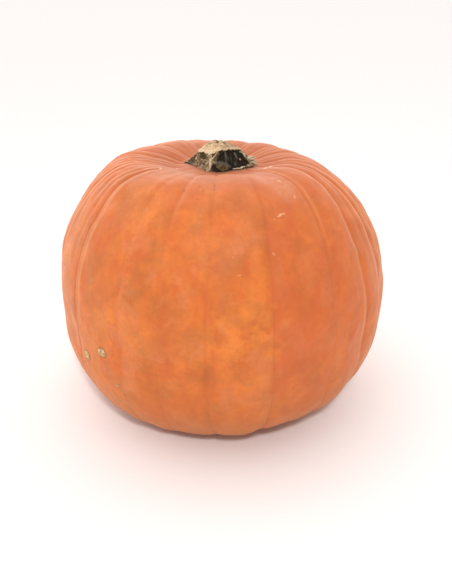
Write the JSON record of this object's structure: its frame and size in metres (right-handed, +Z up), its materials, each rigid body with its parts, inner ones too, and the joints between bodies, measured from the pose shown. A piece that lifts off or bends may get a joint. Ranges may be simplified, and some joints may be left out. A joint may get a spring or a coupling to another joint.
{
  "type": "pumpkin",
  "caption": "Whole ribbed orange pumpkin, a little lopsided, with a short dried and torn stem stub, standing on its flat blossom end.",
  "frame": {"origin": "on the surface the pumpkin stands on, under the middle of its outline seen from above", "axes": "+Z up along the fruit from blossom end to stem, -Y towards the front that the picture shows, +X to the right of that front"},
  "size_m": [0.2432, 0.2396, 0.1914],
  "materials": {
    "rind": "smooth waxy orange rind with a dull satin sheen, mottled yellow and red orange",
    "dried_stem": "dry corky beige torn top over dark green-black furrowed bark"
  },
  "bodies": {
    "root": {"fruit": "rind", "stem": "dried_stem"}
  },
  "joints": []
}
